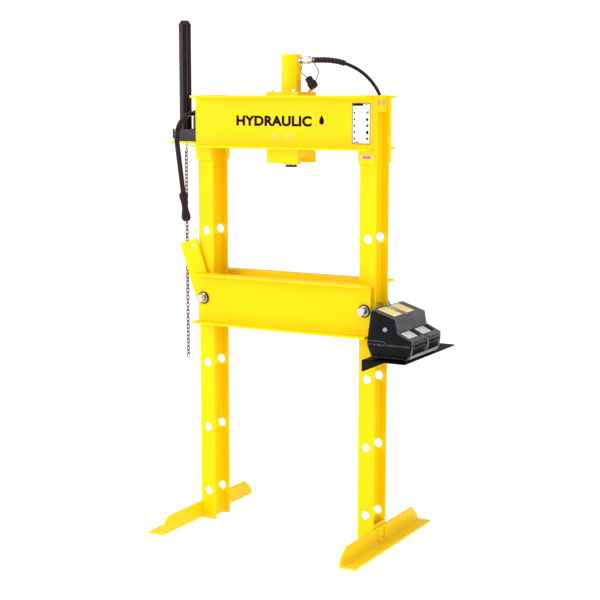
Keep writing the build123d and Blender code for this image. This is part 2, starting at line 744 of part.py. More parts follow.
# ======================================================================= foot-operated pump
with BuildPart() as foot_shelf:
    shelf_span = side_shelf_rear - side_shelf_front
    with BuildSketch(Plane.XZ.offset(-side_shelf_front)) as foot_shelf_section:
        with Locations((post_out, side_shelf_z)):
            Rectangle(side_shelf_out - post_out, side_shelf_t, align=(Align.MIN, Align.MAX))
            Rectangle(side_shelf_t, side_shelf_leg, align=(Align.MIN, Align.MAX))
        fillet(foot_shelf_section.vertices().sort_by_distance((post_out, side_shelf_z))[0], 5)
    extrude(amount=-shelf_span)
    with BuildSketch(Plane.YZ.offset(post_out)):
        with Locations((-34, 828), (34, 828)):
            Circle(bolt_hole / 2)
    extrude(amount=side_shelf_t, mode=Mode.SUBTRACT)
foot_shelf.part.label = "foot_shelf"
export_step(foot_shelf.part, "parts/foot_shelf.step")

with BuildPart() as fp_base:
    with BuildSketch(Plane.XZ) as base_profile:
        with BuildLine():
            Polyline((474, 864), (640, 864), (656, 886), (661, fp_split), (453, fp_split),
                     (456, 905), close=True)
        make_face()
        fillet(base_profile.vertices().sort_by_distance((474, 864))[0], 6)
    extrude(amount=fp_half, both=True)
    with BuildSketch(Plane.XY.offset(fp_split)):
        with Locations((524, 0)):
            Rectangle(130, 276)
        with Locations((632, 0)):
            Rectangle(70, 276)
    extrude(amount=-44, mode=Mode.SUBTRACT)
    with BuildSketch(Plane.XY.offset(864)):
        with Locations(*[(x, y) for x in (492, 618) for y in (-118, 118)]):
            Circle(13)
    extrude(amount=side_shelf_z - 864)
    with BuildSketch(Plane.YZ.offset(440)):
        with Locations((128, 885)):
            Circle(10.1)
    extrude(amount=30, mode=Mode.SUBTRACT)
fp_base.part.label = "fp_base"
export_step(fp_base.part, "parts/fp_base.step")

with BuildPart() as fp_shell:
    with BuildSketch(Plane.XZ) as cover_profile:
        with BuildLine():
            Polyline((453, fp_split), (453, 934), (470, 1067), (584, 1031), (594, 976),
                     (661, 946), (661, fp_split), close=True)
        make_face()
        fillet(cover_profile.vertices().sort_by_distance((470, 1067))[0], 8)
        fillet(cover_profile.vertices().sort_by_distance((584, 1031))[0], 6)
    extrude(amount=fp_half, both=True)
    with BuildSketch(Plane.XZ):
        with BuildLine():
            Polyline((457, fp_split), (457, 934), (473, 1062), (580, 1028), (588, 976),
                     (588, fp_split), close=True)
        make_face()
    extrude(amount=fp_half - 5, both=True, mode=Mode.SUBTRACT)
    with BuildSketch(Plane.XZ):
        with BuildLine():
            Polyline((593, fp_split), (593, 990), (680, 990), (680, fp_split), close=True)
        make_face()
    extrude(amount=fp_half - 12, both=True, mode=Mode.SUBTRACT)
    with BuildSketch(Plane.XZ):
        with Locations((hinge_x, hinge_z)):
            Circle(5.02)
    extrude(amount=fp_half - 4, both=True, mode=Mode.SUBTRACT)
    with BuildSketch(Plane.XZ):
        with Locations((536, 985)):
            Circle(4.1)
    extrude(amount=fp_half + 5, both=True, mode=Mode.SUBTRACT)
fp_shell.part.label = "fp_shell"
export_step(fp_shell.part, "parts/fp_shell.step")

for name, low, high in (("fp_pedal_near", -136.0, -5.0), ("fp_pedal_far", 5.0, 136.0)):
    with BuildPart() as pedal:
        with BuildSketch(Plane.XZ.offset(-low)):
            with BuildLine():
                Polyline((598, 966), (606, 966), (642, 950), (658, 942), (664, 930), (663, 912),
                         (655, 912), (648, 930), (598, 944), close=True)
            make_face()
        extrude(amount=low - high)
        fillet(pedal.edges().filter_by(Axis.Y).group_by(Axis.X)[-1], 3)
        with BuildSketch(Plane.XZ):
            with Locations((hinge_x, hinge_z)):
                Circle(5.06)
        extrude(amount=200, both=True, mode=Mode.SUBTRACT)
    pedal.part.label = name
    export_step(pedal.part, f"parts/{name}.step")

with BuildPart() as fp_shaft:
    with BuildSketch(Plane.XZ):
        with Locations((hinge_x, hinge_z)):
            Circle(5)
    extrude(amount=fp_half - 6, both=True)
fp_shaft.part.label = "fp_shaft"
export_step(fp_shaft.part, "parts/fp_shaft.step")

with BuildPart() as fp_screws:
    for side in (-1, 1):
        with BuildSketch(Plane.XZ.offset(-side * fp_half)):
            with Locations((536, 985)):
                Circle(10)
        extrude(amount=-side * 3.5)
        chamfer(fp_screws.faces().sort_by(Axis.Y)[0 if side < 0 else -1].edges(), 1)
        with BuildSketch(Plane.XZ.offset(-side * fp_half)):
            with Locations((536, 985)):
                Circle(4)
        extrude(amount=side * 4)
fp_screws.part.label = "fp_screws"
export_step(fp_screws.part, "parts/fp_screws.step")

with BuildPart() as fp_trim:
    with BuildSketch(Plane.XZ):
        with BuildLine():
            Polyline((640, 864), (654, 883.25), (657.5, 881), (645, 864), close=True)
        make_face()
    extrude(amount=fp_half - 8, both=True)
    with BuildSketch(Plane.XZ):
        with BuildLine():
            Polyline((640, 874), (647, 874), (662, 892), (669, 905), (669, 934), (662, 944),
                     (652, 944), (652, 892), (640, 892), close=True)
        make_face()
    extrude(amount=3, both=True)
fp_trim.part.label = "fp_trim"
export_step(fp_trim.part, "parts/fp_trim.step")

# Top plane of the cover, for what lies on it.
cover_slope = math.degrees(math.atan2(1067 - 1031, 584 - 470))
with BuildPart() as fp_labels:
    with BuildSketch(Plane(origin=(527, 0, 1049), x_dir=(math.cos(math.radians(cover_slope)), 0,
                           -math.sin(math.radians(cover_slope))),
                           z_dir=(math.sin(math.radians(cover_slope)), 0,
                                  math.cos(math.radians(cover_slope))))):
        with Locations((-2, -72), (-2, 52)):
            RectangleRounded(84, 74, 3)
    extrude(amount=0.5)
fp_labels.part.label = "fp_labels"
export_step(fp_labels.part, "parts/fp_labels.step")

with BuildPart() as fp_motor:
    with BuildSketch(Plane.XZ.offset(-20)):
        with Locations((520, 966)):
            Circle(34)
    extrude(amount=130)
    with BuildSketch(Plane.XZ.offset(110)):
        with Locations((520, 966)):
            Circle(22)
    extrude(amount=24)
    with BuildSketch(Plane.XY.offset(874)):
        with Locations((520, -45)):
            Rectangle(44, 90)
    extrude(amount=62)
fp_motor.part.label = "fp_motor"
export_step(fp_motor.part, "parts/fp_motor.step")

with BuildPart() as fp_valve:
    with BuildSketch(Plane.XY.offset(874)):
        with Locations((520, 92)):
            Rectangle(90, 86)
    extrude(amount=96)
    fillet(fp_valve.edges().filter_by(Axis.Z), 4)
fp_valve.part.label = "fp_valve"
export_step(fp_valve.part, "parts/fp_valve.step")

with BuildPart() as air_inlet:
    with BuildSketch(Plane.XZ.offset(-fp_half)):
        with Locations((500, 945)):
            RegularPolygon(12, 6)
    extrude(amount=-12)
    with BuildSketch(Plane.XZ.offset(-fp_half - 12)):
        with Locations((500, 945)):
            Circle(7)
    extrude(amount=-16)
    with BuildSketch(Plane.XZ.offset(-fp_half - 28)):
        with Locations((500, 945)):
            Circle(9)
    extrude(amount=-5)
air_inlet.part.label = "air_inlet"
export_step(air_inlet.part, "parts/air_inlet.step")

# ============================================================================ plates, labels
with BuildPart() as head_labels:
    with BuildSketch(Plane.XZ.offset(web_front)):
        with Locations((387, 1842)):
            RectangleRounded(86, 172, 2)
        with Locations((-32, 1780), (39, 1780)):
            RectangleRounded(44, 24, 2)
    extrude(amount=0.8)
    with BuildSketch(Plane.XZ.offset(web_back)):
        with Locations((411, 1701)):
            RectangleRounded(46, 20, 2)
    extrude(amount=0.8)
head_labels.part.label = "head_labels"
export_step(head_labels.part, "parts/head_labels.step")
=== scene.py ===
# %% [markdown]
# # A floor-standing shop press, finished in Blender
# The steelwork, the ram and both pumps come from the imported model and stay where they are. This
# script adds what the solids leave out: weld beads, black rings of painted shade behind the bed
# pins, printing, the ribbed hose sleeve and the detail of the foot pump. It also gives every
# surface a finish made from nodes.

# %% Load the imported press
import json
import math
import random

import bpy
from mathutils import Matrix, Vector


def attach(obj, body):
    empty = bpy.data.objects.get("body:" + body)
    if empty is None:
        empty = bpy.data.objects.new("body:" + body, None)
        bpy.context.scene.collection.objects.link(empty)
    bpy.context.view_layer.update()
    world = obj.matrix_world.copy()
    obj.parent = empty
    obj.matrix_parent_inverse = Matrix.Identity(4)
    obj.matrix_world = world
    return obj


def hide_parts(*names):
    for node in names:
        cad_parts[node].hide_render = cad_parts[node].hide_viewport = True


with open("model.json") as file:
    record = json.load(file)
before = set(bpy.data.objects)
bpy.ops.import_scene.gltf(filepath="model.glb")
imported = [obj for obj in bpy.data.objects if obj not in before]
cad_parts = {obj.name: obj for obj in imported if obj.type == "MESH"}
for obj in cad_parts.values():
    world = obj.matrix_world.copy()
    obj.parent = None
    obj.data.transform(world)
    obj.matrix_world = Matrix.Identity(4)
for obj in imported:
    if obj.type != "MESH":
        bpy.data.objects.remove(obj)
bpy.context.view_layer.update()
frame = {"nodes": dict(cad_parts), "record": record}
nodes = frame["nodes"]
random.seed(7)
MM = 0.001

# %% [markdown]
# ## The studio
# A pale floor, a soft white surround and four soft lamps. The key stands to the left of the
# working side, so that the faces towards the operator are bright and the right-hand faces of the
# posts fall back to a deeper golden yellow, which shows the shape of the rolled sections.


# %% Floor, surround, lamps and camera
def deselect():
    """Nothing is selected after this."""
    bpy.ops.object.select_all(action="DESELECT")


def studio_floor():
    """A large pale plane just under the feet."""
    deselect()
    bpy.ops.mesh.primitive_plane_add(size=60, location=(0, 0, -0.0005))
    floor = bpy.context.object
    floor.name = "studio_floor"
    paint = bpy.data.materials.new("studio_white")
    paint.use_nodes = True
    shader = paint.node_tree.nodes["Principled BSDF"]
    shader.inputs["Base Color"].default_value = (0.55, 0.55, 0.57, 1)
    shader.inputs["Roughness"].default_value = 0.9
    shader.inputs["Specular IOR Level"].default_value = 0.1
    shader.inputs["Emission Color"].default_value = (1, 1, 1, 1)
    shader.inputs["Emission Strength"].default_value = 0.80
    floor.data.materials.append(paint)


def lamp(name, place, target, size, power):
    """A soft rectangular lamp at a place, pointed at a target."""
    deselect()
    bpy.ops.object.light_add(type="AREA", location=place)
    light = bpy.context.object
    light.name = name
    light.data.shape = "RECTANGLE"
    light.data.size, light.data.size_y = size
    light.data.energy = power
    aim = Vector(target) - Vector(place)
    light.rotation_euler = aim.to_track_quat("-Z", "Y").to_euler()


def surround(seen, cast):
    """Plain white behind the press, and an even light of a lower strength on it."""
    world = bpy.data.worlds.new("surround")
    bpy.context.scene.world = world
    world.use_nodes = True
    tree = world.node_tree
    back = tree.nodes["Background"]
    back.inputs["Color"].default_value = (1, 1, 1, 1)
    path = tree.nodes.new("ShaderNodeLightPath")
    mix = tree.nodes.new("ShaderNodeMix")
    mix.inputs["A"].default_value, mix.inputs["B"].default_value = cast, seen
    tree.links.new(path.outputs["Is Camera Ray"], mix.inputs["Factor"])
    tree.links.new(mix.outputs["Result"], back.inputs["Strength"])


def viewpoint(place, turn, tip, lens, shift):
    """The camera, turned from +Y towards -X by turn degrees and tipped down by tip degrees."""
    deselect()
    bpy.ops.object.camera_add(location=place,
                              rotation=(math.radians(90 - tip), 0, math.radians(turn)))
    camera = bpy.context.object
    camera.name = "studio_camera"
    camera.data.lens, camera.data.sensor_width = lens, 36
    camera.data.shift_x, camera.data.shift_y = shift
    camera.data.clip_end = 200
    bpy.context.scene.camera = camera


studio_floor()
lamp("key_left", (-3.4, -5.2, 3.2), (0, 0, 1.1), (3.2, 3.6), 165)
lamp("fill_right", (5.5, -2.0, 2.6), (0, 0, 1.1), (1.2, 3.6), 80)
lamp("strip_left", (-4.2, -1.2, 1.9), (-0.5, 0, 1.9), (0.35, 3.0), 45)
lamp("overhead", (0, -1.0, 6.5), (0, 0, 0), (6, 6), 150)
surround(seen=1.15, cast=0.60)
viewpoint((3.047, -5.424, 1.973), 29.22, 8.63, 84.38, (0.0102, 0.0092))
bpy.context.scene.view_settings.view_transform = "Standard"

# %% [markdown]
# ## Effects that many finishes share
# Real paint, steel and plastic are never one even colour. Four small node groups give the
# differences: slow variation of tone, a light edge (wear on the metals, and a painted highlight on
# the mouldings and the yellow paint), the fine skin of a sprayed or moulded surface, and the dust
# that settles near the floor. Each is built once and placed in each material with its own values.
# A group only puts out colours, masks and heights.


# %% Node groups
class Sheet:
    """A short way to place and link nodes in one node tree."""

    def __init__(self, tree):
        self.tree = tree

    def node(self, kind, **values):
        made = self.tree.nodes.new("ShaderNode" + kind)
        for name, value in values.items():
            setattr(made, name, value)
        return made

    def link(self, source, target):
        self.tree.links.new(source, target)


def new_group(name, takes, gives):
    """A node group with named sockets. takes and gives list (name, type, default)."""
    group = bpy.data.node_groups.new(name, "ShaderNodeTree")
    for label, kind, value in takes:
        socket = group.interface.new_socket(label, in_out="INPUT", socket_type="NodeSocket" + kind)
        socket.default_value = value
    for label, kind in gives:
        group.interface.new_socket(label, in_out="OUTPUT", socket_type="NodeSocket" + kind)
    sheet = Sheet(group)
    return group, sheet, group.nodes.new("NodeGroupInput"), group.nodes.new("NodeGroupOutput")


def tone_group():
    """Slow change between two tones, from object-space noise."""
    group, sheet, enter, leave = new_group(
        "tone_drift",
        [("Light", "Color", (1, 1, 1, 1)), ("Dark", "Color", (0.5, 0.5, 0.5, 1)),
         ("Scale", "Float", 3.0)], [("Color", "Color"), ("Mask", "Float")])
    place = sheet.node("TexCoord")
    noise = sheet.node("TexNoise")
    noise.inputs["Detail"].default_value = 4
    ramp = sheet.node("MapRange")
    ramp.inputs["From Min"].default_value, ramp.inputs["From Max"].default_value = 0.3, 0.72
    mix = sheet.node("Mix", data_type="RGBA")
    sheet.link(place.outputs["Object"], noise.inputs["Vector"])
    sheet.link(enter.outputs["Scale"], noise.inputs["Scale"])
    sheet.link(noise.outputs["Fac"], ramp.inputs["Value"])
    sheet.link(ramp.outputs["Result"], mix.inputs["Factor"])
    sheet.link(enter.outputs["Light"], mix.inputs[6])
    sheet.link(enter.outputs["Dark"], mix.inputs[7])
    sheet.link(mix.outputs[2], leave.inputs["Color"])
    sheet.link(ramp.outputs["Result"], leave.inputs["Mask"])
    return group


def edge_group():
    """A mask that is 1 along outer edges, broken up by noise: worn edges on the metals, and a
    painted highlight along the edges of the mouldings and the yellow paint.
    """
    group, sheet, enter, leave = new_group(
        "edge_wear_and_highlight", [("Width", "Float", 0.002), ("Amount", "Float", 1.0),
                     ("Break Up", "Float", 60.0)], [("Mask", "Float")])
    bevel = sheet.node("Bevel", samples=4)
    normal = sheet.node("NewGeometry")
    dot = sheet.node("VectorMath", operation="DOT_PRODUCT")
    spread = sheet.node("MapRange")
    spread.inputs["From Min"].default_value, spread.inputs["From Max"].default_value = 0.995, 0.85
    place = sheet.node("TexCoord")
    noise = sheet.node("TexNoise")
    noise.inputs["Detail"].default_value = 3
    cut = sheet.node("MapRange")
    cut.inputs["From Min"].default_value, cut.inputs["From Max"].default_value = 0.38, 0.62
    times = sheet.node("Math", operation="MULTIPLY")
    final = sheet.node("Math", operation="MULTIPLY", use_clamp=True)
    sheet.link(enter.outputs["Width"], bevel.inputs["Radius"])
    sheet.link(bevel.outputs["Normal"], dot.inputs[0])
    sheet.link(normal.outputs["Normal"], dot.inputs[1])
    sheet.link(dot.outputs["Value"], spread.inputs["Value"])
    sheet.link(place.outputs["Object"], noise.inputs["Vector"])
    sheet.link(enter.outputs["Break Up"], noise.inputs["Scale"])
    sheet.link(noise.outputs["Fac"], cut.inputs["Value"])
    sheet.link(spread.outputs["Result"], times.inputs[0])
    sheet.link(cut.outputs["Result"], times.inputs[1])
    sheet.link(times.outputs["Value"], final.inputs[0])
    sheet.link(enter.outputs["Amount"], final.inputs[1])
    sheet.link(final.outputs["Value"], leave.inputs["Mask"])
    return group


def skin_group():
    """The height of a fine skin: orange peel on paint, grain on mouldings."""
    group, sheet, enter, leave = new_group(
        "fine_skin", [("Scale", "Float", 400.0), ("Coarse", "Float", 40.0),
                      ("Share", "Float", 0.3)], [("Height", "Float")])
    place = sheet.node("TexCoord")
    fine, coarse = sheet.node("TexNoise"), sheet.node("TexNoise")
    mix = sheet.node("Mix")
    for noise, label in ((fine, "Scale"), (coarse, "Coarse")):
        noise.inputs["Detail"].default_value = 2
        sheet.link(place.outputs["Object"], noise.inputs["Vector"])
        sheet.link(enter.outputs[label], noise.inputs["Scale"])
    sheet.link(enter.outputs["Share"], mix.inputs["Factor"])
    sheet.link(fine.outputs["Fac"], mix.inputs["A"])
    sheet.link(coarse.outputs["Fac"], mix.inputs["B"])
    sheet.link(mix.outputs["Result"], leave.inputs["Height"])
    return group


def dust_group():
    """A mask of dust: strong at the floor, and on faces that look up."""
    group, sheet, enter, leave = new_group(
        "settled_dust", [("Fade Height", "Float", 0.15), ("On Tops", "Float", 0.2),
                         ("Amount", "Float", 0.5)], [("Mask", "Float")])
    place = sheet.node("TexCoord")
    split = sheet.node("SeparateXYZ")
    low = sheet.node("MapRange")
    low.inputs["From Min"].default_value = 0.0
    low.inputs["To Min"].default_value, low.inputs["To Max"].default_value = 1.0, 0.0
    normal = sheet.node("NewGeometry")
    up = sheet.node("SeparateXYZ")
    tops = sheet.node("Math", operation="MULTIPLY", use_clamp=True)
    both = sheet.node("Math", operation="MAXIMUM")
    noise = sheet.node("TexNoise")
    noise.inputs["Scale"].default_value, noise.inputs["Detail"].default_value = 18, 6
    patch = sheet.node("Math", operation="MULTIPLY")
    final = sheet.node("Math", operation="MULTIPLY", use_clamp=True)
    sheet.link(place.outputs["Object"], split.inputs[0])
    sheet.link(split.outputs["Z"], low.inputs["Value"])
    sheet.link(enter.outputs["Fade Height"], low.inputs["From Max"])
    sheet.link(normal.outputs["Normal"], up.inputs[0])
    sheet.link(up.outputs["Z"], tops.inputs[0])
    sheet.link(enter.outputs["On Tops"], tops.inputs[1])
    sheet.link(low.outputs["Result"], both.inputs[0])
    sheet.link(tops.outputs["Value"], both.inputs[1])
    sheet.link(place.outputs["Object"], noise.inputs["Vector"])
    sheet.link(both.outputs["Value"], patch.inputs[0])
    sheet.link(noise.outputs["Fac"], patch.inputs[1])
    sheet.link(patch.outputs["Value"], final.inputs[0])
    sheet.link(enter.outputs["Amount"], final.inputs[1])
    sheet.link(final.outputs["Value"], leave.inputs["Mask"])
    return group


groups = {"tone": tone_group(), "edge": edge_group(), "skin": skin_group(), "dust": dust_group()}
print("groups", sorted(g.name for g in groups.values()))

# %% [markdown]
# ## One recipe for a coated surface
# Paint, moulded plastic, rubber and plated steel all come from the same steps: two close tones
# mixed slowly, a lighter edge (rubbed wear on metal, a painted highlight on the mouldings and the
# yellow paint), some dust, a roughness that drifts, and a fine skin in the bump. What differs is
# only the values, so one function makes them all, and the shader's own sockets hold whatever is
# the same all over.


# %% Finishes
def finish(name, light, dark, rough, edge=(0.6, 0.6, 0.6), edge_width=0.0015, edge_amount=0.3,
           metal=0.0, spec=0.5, coat=0.0, skin=(420, 40, 0.3), bump=0.15, depth=0.0004,
           dust=(0.15, 0.1, 0.3), drift=3.0, rough_swing=0.08):
    """A material from two tones, an edge colour and the shared effects."""
    made = bpy.data.materials.new(name)
    made.use_nodes = True
    sheet = Sheet(made.node_tree)
    shader = made.node_tree.nodes["Principled BSDF"]
    made.node_tree.nodes.remove(made.node_tree.nodes["Material Output"])
    out = sheet.node("OutputMaterial")
    sheet.link(shader.outputs["BSDF"], out.inputs["Surface"])

    def use(key, **values):
        placed = sheet.node("Group", node_tree=groups[key])
        for label, value in values.items():
            placed.inputs[label.replace("_", " ")].default_value = value
        return placed

    tone = use("tone", Light=(*light, 1), Dark=(*dark, 1), Scale=drift)
    # The edge colour goes on along the edges: worn metal on the metals, a painted highlight on the
    # mouldings and the yellow paint.
    rub = use("edge", Width=edge_width, Amount=edge_amount)
    wear_highlight_mix = sheet.node("Mix", data_type="RGBA")
    wear_highlight_mix.inputs[7].default_value = (*edge, 1)
    sheet.link(rub.outputs["Mask"], wear_highlight_mix.inputs["Factor"])
    sheet.link(tone.outputs["Color"], wear_highlight_mix.inputs[6])
    grey = use("dust", Fade_Height=dust[0], On_Tops=dust[1], Amount=dust[2])
    dusty = sheet.node("Mix", data_type="RGBA")
    dusty.inputs[7].default_value = (0.42, 0.40, 0.37, 1)
    sheet.link(grey.outputs["Mask"], dusty.inputs["Factor"])
    sheet.link(wear_highlight_mix.outputs[2], dusty.inputs[6])
    sheet.link(dusty.outputs[2], shader.inputs["Base Color"])
    swing = sheet.node("MapRange")
    swing.inputs["To Min"].default_value = rough - rough_swing
    swing.inputs["To Max"].default_value = rough + rough_swing
    sheet.link(tone.outputs["Mask"], swing.inputs["Value"])
    sheet.link(swing.outputs["Result"], shader.inputs["Roughness"])
    skinned = use("skin", Scale=skin[0], Coarse=skin[1], Share=skin[2])
    press = sheet.node("Bump")
    press.inputs["Strength"].default_value = bump
    press.inputs["Distance"].default_value = depth
    sheet.link(skinned.outputs["Height"], press.inputs["Height"])
    sheet.link(press.outputs["Normal"], shader.inputs["Normal"])
    shader.inputs["Metallic"].default_value = metal
    shader.inputs["Specular IOR Level"].default_value = spec
    shader.inputs["Coat Weight"].default_value = coat
    shader.inputs["Coat Roughness"].default_value = 0.08
    return made


YELLOW_LIGHT, YELLOW_DARK = (0.95, 0.655, 0.0), (0.93, 0.625, 0.0)
finishes = {
    # The lighter edge colour of the yellow paint is a painted highlight along the steel's edges.
    "paint_yellow": finish("yellow_enamel", YELLOW_LIGHT, YELLOW_DARK, 0.38,
                           edge=(1.0, 0.78, 0.10), edge_amount=0.5, edge_width=0.002, spec=0.10,
                           skin=(260, 30, 0.35), bump=0.12, dust=(0.05, 0.03, 0.10)),
    "paint_black": finish("black_enamel", (0.016, 0.006, 0.010), (0.010, 0.004, 0.007), 0.13,
                          edge=(0.09, 0.06, 0.08), edge_amount=0.4, spec=0.20,
                          skin=(180, 24, 0.4), bump=0.06, dust=(0.05, 0.0, 0.1)),
    "shelf_black": finish("shelf_enamel", (0.003, 0.002, 0.002), (0.002, 0.001, 0.001), 0.5,
                          edge=(0.06, 0.06, 0.07), edge_amount=0.4, spec=0.04, bump=0.12,
                          dust=(0.05, 0.0, 0.0)),
    "steel": finish("turned_steel", (0.66, 0.66, 0.68), (0.50, 0.50, 0.52), 0.26,
                    edge=(0.85, 0.85, 0.86), edge_amount=0.8, edge_width=0.0008, metal=1.0,
                    skin=(900, 120, 0.5), bump=0.08, drift=12),
    "chrome_rod": finish("hard_chrome", (0.80, 0.81, 0.84), (0.72, 0.73, 0.77), 0.10,
                         edge=(0.9, 0.9, 0.9), metal=1.0, skin=(900, 200, 0.5), bump=0.03,
                         rough_swing=0.04, drift=9),
    "zinc_bolt": finish("zinc_plate", (0.80, 0.72, 0.50), (0.62, 0.52, 0.32), 0.34,
                        edge=(0.9, 0.85, 0.7), edge_amount=0.8, metal=0.85, drift=40,
                        skin=(700, 90, 0.5), bump=0.10),
    "black_oxide": finish("black_oxide", (0.022, 0.021, 0.022), (0.012, 0.011, 0.012), 0.38,
                          edge=(0.30, 0.29, 0.28), edge_amount=0.8, metal=0.4, bump=0.15,
                          edge_width=0.0008, drift=30),
    "chain_steel": finish("passivated_chain", (0.36, 0.20, 0.09), (0.10, 0.05, 0.03), 0.36,
                          edge=(0.72, 0.50, 0.28), edge_amount=0.7, metal=0.9, drift=42,
                          edge_width=0.001, bump=0.2, rough_swing=0.12),
    # Black rubber is the hose, guard and cap ribs, and painted shade in the pin rings and top
    # grooves.
    "rubber_black": finish("black_rubber_and_painted_shade", (0.020, 0.008, 0.012), (0.012, 0.005, 0.008), 0.42,
                           edge=(0.08, 0.05, 0.06), edge_amount=0.5, spec=0.16,
                           skin=(600, 70, 0.3), bump=0.25, drift=20),
    "seal": finish("polyurethane_seal", (0.10, 0.22, 0.30), (0.07, 0.17, 0.24), 0.35, drift=30),
    # The light grey edge colours of the mouldings below are painted highlights along their edges.
    "plastic_body": finish("charcoal_moulding", (0.062, 0.065, 0.072), (0.046, 0.049, 0.056),
                           0.50, edge=(0.34, 0.36, 0.39), edge_amount=1.0, edge_width=0.006,
                           spec=0.42, skin=(1500, 260, 0.35), bump=0.5, depth=0.0003,
                           dust=(0.05, 0.25, 0.18), drift=7),
    "plastic_pedal": finish("pedal_moulding", (0.030, 0.031, 0.034), (0.018, 0.019, 0.022),
                            0.48, edge=(0.30, 0.30, 0.32), edge_amount=1.0, edge_width=0.003,
                            skin=(1500, 260, 0.35), bump=0.4, drift=12),
    "rib_plastic": finish("rib_moulding", (0.11, 0.11, 0.12), (0.07, 0.07, 0.08), 0.42,
                          edge=(0.34, 0.34, 0.35), edge_amount=1.0, edge_width=0.003,
                          skin=(1500, 260, 0.35), bump=0.3, drift=12),
    "lip_plastic": finish("lip_moulding", (0.050, 0.054, 0.060), (0.036, 0.039, 0.044), 0.45,
                          edge=(0.10, 0.11, 0.12), edge_amount=0.5, spec=0.2, drift=12),
    "trim_grey": finish("trim_strip", (0.22, 0.22, 0.23), (0.14, 0.14, 0.15), 0.34,
                        edge=(0.60, 0.60, 0.61), edge_amount=0.8, metal=0.6, drift=26),
    "screw_blue": finish("blued_screw", (0.30, 0.35, 0.42), (0.20, 0.24, 0.30), 0.28,
                         edge=(0.62, 0.66, 0.70), edge_amount=0.7, metal=0.8, drift=60),
    "pedal_pad": finish("pale_pedal_pad", (0.80, 0.79, 0.77), (0.62, 0.61, 0.60), 0.5,
                        edge=(0.90, 0.89, 0.87), edge_amount=0.6, skin=(700, 180, 0.5),
                        bump=0.3, drift=140),
    "label_white": finish("label_film", (0.92, 0.91, 0.91), (0.86, 0.85, 0.86), 0.3,
                          edge=(0.8, 0.8, 0.8), edge_amount=0.2, bump=0.03, dust=(0.05, 0, 0.1)),
    "label_cream": finish("cream_film", (0.95, 0.80, 0.36), (0.90, 0.72, 0.27), 0.34,
                          edge=(0.97, 0.90, 0.6), edge_amount=0.3, bump=0.04, drift=14,
                          dust=(0.05, 0.0, 0.1)),
    "label_pink": finish("small_plate_film", (0.80, 0.55, 0.46), (0.72, 0.47, 0.40), 0.35,
                         bump=0.03),
    "label_straw": finish("straw_film", (0.93, 0.64, 0.02), (0.90, 0.60, 0.02), 0.3, bump=0.02,
                          edge_amount=0.05),
    "aluminium": finish("satin_aluminium", (0.72, 0.72, 0.74), (0.58, 0.58, 0.60), 0.30,
                        edge=(0.9, 0.9, 0.9), edge_amount=0.6, metal=1.0, drift=26,
                        skin=(1200, 150, 0.4), bump=0.06),
    "brass": finish("plain_brass", (0.78, 0.58, 0.26), (0.62, 0.44, 0.18), 0.26,
                    edge=(0.92, 0.78, 0.5), edge_amount=0.7, metal=1.0, drift=30),
    # Black ink is print on the films and the web, and painted shade in the pedal hollows and slots.
    "ink": finish("black_ink_and_painted_shade", (0.006, 0.004, 0.004), (0.004, 0.003, 0.003), 0.4, bump=0.02,
                  edge_amount=0.0, spec=0.04, dust=(0.05, 0.0, 0.0)),
    "grey_ink": finish("grey_ink", (0.30, 0.29, 0.30), (0.22, 0.21, 0.22), 0.4, bump=0.02,
                       edge_amount=0.0),
    "ochre_ink": finish("ochre_ink", (0.55, 0.34, 0.0), (0.48, 0.29, 0.0), 0.4, bump=0.02,
                        edge_amount=0.0),
}
print("finishes", len(finishes))

# %% [markdown]
# ## The carried-over nodes
# The record names a material slot for each node. The finish of that name goes on it, with a few
# exceptions: the shelf under the foot pump is flatter than the glossy lift tube, and the foot
# pump's trim and screws are duller than bright metal.

# %% Give each node its finish
slot_of = {row["node"]: row["material_slot"] for row in frame["record"]["subparts"]}
special = {"foot_shelf": "shelf_black", "fp_trim": "trim_grey", "fp_screws": "screw_blue"}
for name, node in nodes.items():
    node.data.materials.clear()
    node.data.materials.append(finishes[special.get(name, slot_of[name])])
print("painted", len(nodes))

# %% [markdown]
# ## Helpers for new pieces
# Every new piece is shaped at its real place and then has its place and turn applied to its mesh,
# so its object stays at the origin as the nodes' objects do.


# %% Place, bevel and join
def settle(piece, name, body, material, smooth=35):
    """Bakes a piece's place into its mesh, names it, shades it and puts it on its body."""
    deselect()
    piece.select_set(True)
    bpy.context.view_layer.objects.active = piece
    bpy.ops.object.transform_apply(location=True, rotation=True, scale=True)
    bpy.ops.object.shade_smooth_by_angle(angle=math.radians(smooth))
    piece.name = piece.data.name = name
    piece.data.materials.clear()
    piece.data.materials.append(finishes[material])
    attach(piece, body)
    return piece


def modify(piece, kind, **values):
    """Adds a modifier, sets it and applies it."""
    deselect()
    piece.select_set(True)
    bpy.context.view_layer.objects.active = piece
    made = piece.modifiers.new(kind.lower(), kind)
    for label, value in values.items():
        setattr(made, label, value)
    bpy.ops.object.modifier_apply(modifier=made.name)
    return piece


def block(low, high, bevel=0.0, segments=2):
    """A box between two corners in millimetres, with its edges rounded."""
    deselect()
    centre = [(a + b) / 2 * MM for a, b in zip(low, high)]
    bpy.ops.mesh.primitive_cube_add(size=1, location=centre)
    piece = bpy.context.object
    piece.scale = [abs(b - a) * MM for a, b in zip(low, high)]
    bpy.ops.object.transform_apply(location=False, rotation=False, scale=True)
    if bevel:
        modify(piece, "BEVEL", width=bevel * MM, segments=segments, limit_method="ANGLE")
    return piece


def drum(centre, axis, radius, length, sides=48, bevel=0.0, segments=2):
    """A round bar in millimetres along an axis, with its rims rounded."""
    deselect()
    turn = Vector(axis).to_track_quat("Z", "Y").to_euler()
    bpy.ops.mesh.primitive_cylinder_add(vertices=sides, radius=radius * MM, depth=length * MM,
                                        location=[c * MM for c in centre], rotation=turn)
    piece = bpy.context.object
    if bevel:
        modify(piece, "BEVEL", width=bevel * MM, segments=segments, limit_method="ANGLE")
    return piece


